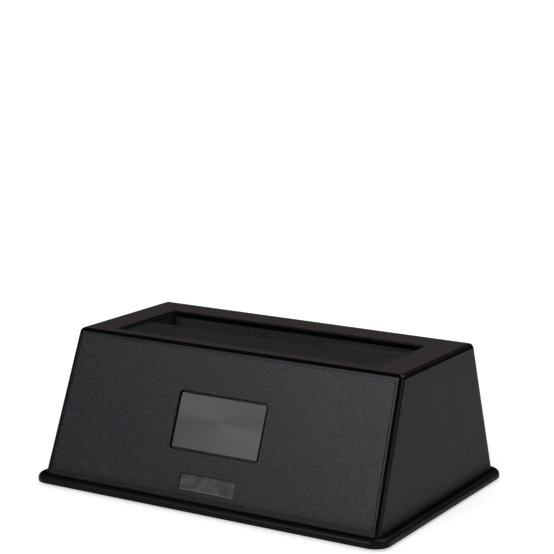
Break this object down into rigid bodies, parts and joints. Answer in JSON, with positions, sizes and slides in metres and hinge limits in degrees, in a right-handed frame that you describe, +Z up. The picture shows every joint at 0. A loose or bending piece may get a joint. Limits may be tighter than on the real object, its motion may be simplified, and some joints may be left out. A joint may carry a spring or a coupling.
{
  "type": "hard drive docking station",
  "caption": "Desktop docking station for a bare drive: a sloped black case on a wider base, with a top slot, sprung flap, connector, indicator window and rear ports.",
  "frame": {"origin": "middle of the footprint, on the surface that the rubber feet stand on", "axes": "+X to the right seen from the front, +Y towards the ports at the back, +Z up"},
  "size_m": [0.141, 0.1008, 0.0542],
  "materials": {
    "case_plastic": "fine moulded grain, satin",
    "base_plastic": "satin black",
    "flap_plastic": "fine satin",
    "frame_plastic": "satin",
    "badge_metal": "dark, brushed",
    "smoked_window": "smoked, smooth",
    "foot_rubber": "matt",
    "polished_steel": "ground rod",
    "spring_steel": "drawn wire",
    "zinc_screw": "zinc plated",
    "black_screw": "black oxide",
    "connector_plastic": "moulded nylon",
    "contact_gold": "gold plated",
    "port_shell": "nickel plated",
    "port_insert": "blue moulded",
    "button_plastic": "smooth black",
    "plunger_plastic": "natural nylon",
    "circuit_board": "green solder mask",
    "chip_epoxy": "moulded epoxy",
    "tinned_lead": "tinned",
    "crystal_can": "drawn can",
    "capacitor_can": "drawn can",
    "ceramic_chip": "fired",
    "ferrite": "pressed",
    "light_lens": "diffused clear"
  },
  "bodies": {
    "case": {"upper_housing": "case_plastic", "base_plate": "base_plastic", "rubber_feet": "foot_rubber", "badge_plate": "badge_metal", "indicator_window": "smoked_window", "drive_bay_frame": "frame_plastic", "flap_hinge_pin": "polished_steel", "flap_spring_left": "spring_steel", "flap_spring_right": "spring_steel", "sata_receptacle": "connector_plastic", "sata_contacts": "contact_gold", "main_circuit_board": "circuit_board", "usb_port_shell": "port_shell", "usb_port_insert": "port_insert", "usb_port_contacts": "contact_gold", "dc_jack_body": "connector_plastic", "dc_jack_pin": "port_shell", "switch_body": "connector_plastic", "switch_spring": "spring_steel", "bridge_controller": "chip_epoxy", "controller_leads": "tinned_lead", "small_chips": "chip_epoxy", "small_chip_leads": "tinned_lead", "crystal": "crystal_can", "capacitor_bases": "chip_epoxy", "capacitor_cans": "capacitor_can", "power_inductors": "ferrite", "voltage_regulators": "chip_epoxy", "chip_resistors": "ceramic_chip", "status_lights": "light_lens", "light_leads": "tinned_lead", "cover_screws": "black_screw", "board_screws": "zinc_screw", "frame_screws": "zinc_screw"},
    "flap": {"bay_flap": "flap_plastic"},
    "button": {"power_button": "button_plastic", "switch_plunger": "plunger_plastic"}
  },
  "joints": [
    {"name": "flap_hinge", "type": "hinge", "parent": "case", "child": "flap", "pos_m": [0, -0.0196, 0.05], "axis": [-1, 0, 0], "range_deg": [0, 85], "stiffness_Nm_per_rad": 0.002, "springref_deg": -34.38, "deforming": ["flap_spring_left", "flap_spring_right"]},
    {"name": "button_press", "type": "slide", "parent": "case", "child": "button", "axis": [0, -1, 0], "range_m": [0, 0.0018], "stiffness_N_per_m": 300, "springref_m": -0.003, "deforming": ["switch_spring"]}
  ]
}
